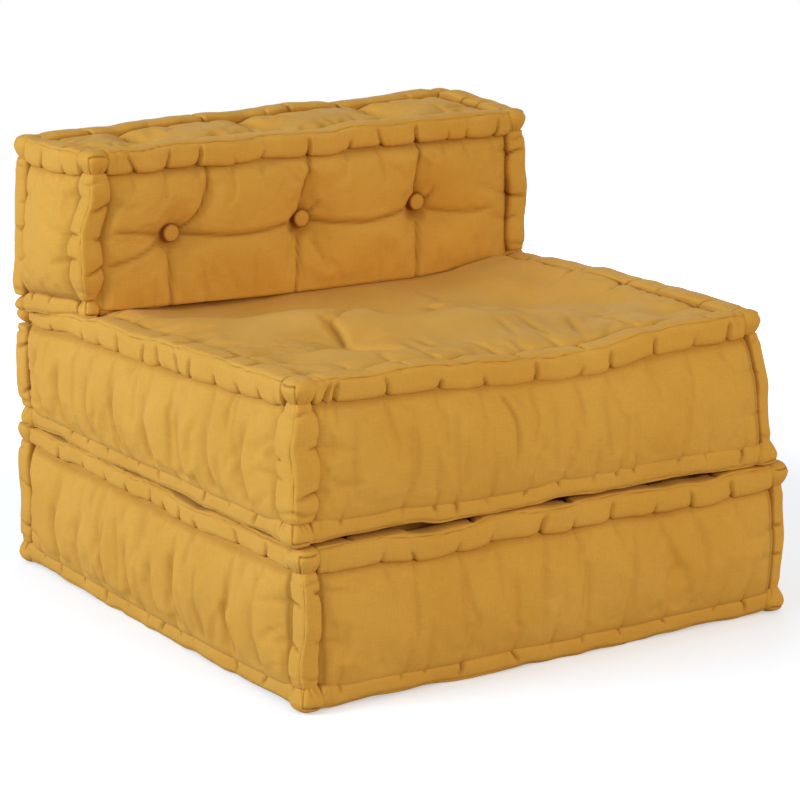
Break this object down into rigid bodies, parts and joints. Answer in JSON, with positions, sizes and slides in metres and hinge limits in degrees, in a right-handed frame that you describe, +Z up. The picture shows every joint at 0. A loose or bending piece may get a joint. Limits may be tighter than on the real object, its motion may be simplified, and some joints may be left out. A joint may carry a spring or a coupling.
{
  "type": "modular sofa",
  "caption": "Low modular sofa of stacked stuffed cushions with rolled edges: a base, a loose seat, and a buttoned backrest that folds back on a sewn edge.",
  "frame": {"origin": "on the floor, under the middle of the whole part", "axes": "+X to the right as seen from the front, -Y towards the front, +Z up"},
  "size_m": [0.708, 0.7109, 0.5603],
  "materials": {
    "cotton_cover": "plain-weave cotton, matt",
    "rolled_edge": "plain-weave cotton, stuffed and hand-stitched",
    "cotton_filling": "raw cotton, matt",
    "twine": "twisted cotton twine",
    "covered_button": "plain-weave cotton over a disc"
  },
  "bodies": {
    "base": {"base_filling": "cotton_filling", "base_top_panel": "cotton_cover", "base_bottom_panel": "cotton_cover", "base_front_panel": "cotton_cover", "base_rear_panel": "cotton_cover", "base_left_panel": "cotton_cover", "base_right_panel": "cotton_cover", "base_top_rolls": "rolled_edge", "base_bottom_rolls": "rolled_edge", "base_corner_rolls": "rolled_edge", "base_corner_knobs": "rolled_edge", "base_tufting_ties": "twine"},
    "seat": {"seat_filling": "cotton_filling", "seat_top_panel": "cotton_cover", "seat_bottom_panel": "cotton_cover", "seat_front_panel": "cotton_cover", "seat_rear_panel": "cotton_cover", "seat_left_panel": "cotton_cover", "seat_right_panel": "cotton_cover", "seat_top_rolls": "rolled_edge", "seat_bottom_rolls": "rolled_edge", "seat_corner_rolls": "rolled_edge", "seat_corner_knobs": "rolled_edge", "seat_tufting_ties": "twine", "hinge_seam": "rolled_edge"},
    "backrest": {"backrest_filling": "cotton_filling", "backrest_top_panel": "cotton_cover", "backrest_bottom_panel": "cotton_cover", "backrest_front_panel": "cotton_cover", "backrest_rear_panel": "cotton_cover", "backrest_left_panel": "cotton_cover", "backrest_right_panel": "cotton_cover", "backrest_top_rolls": "rolled_edge", "backrest_bottom_rolls": "rolled_edge", "backrest_corner_rolls": "rolled_edge", "backrest_corner_knobs": "rolled_edge", "backrest_tufting_ties": "twine", "front_buttons": "covered_button", "rear_buttons": "covered_button"}
  },
  "joints": [
    {"name": "seat_lift", "type": "slide", "parent": "base", "child": "seat", "axis": [0, 0, 1], "range_m": [0, 0.25]},
    {"name": "backrest_fold", "type": "hinge", "parent": "seat", "child": "backrest", "pos_m": [0, 0.34875, 0.34845], "axis": [-1, 0, 0], "range_deg": [0, 180]}
  ]
}
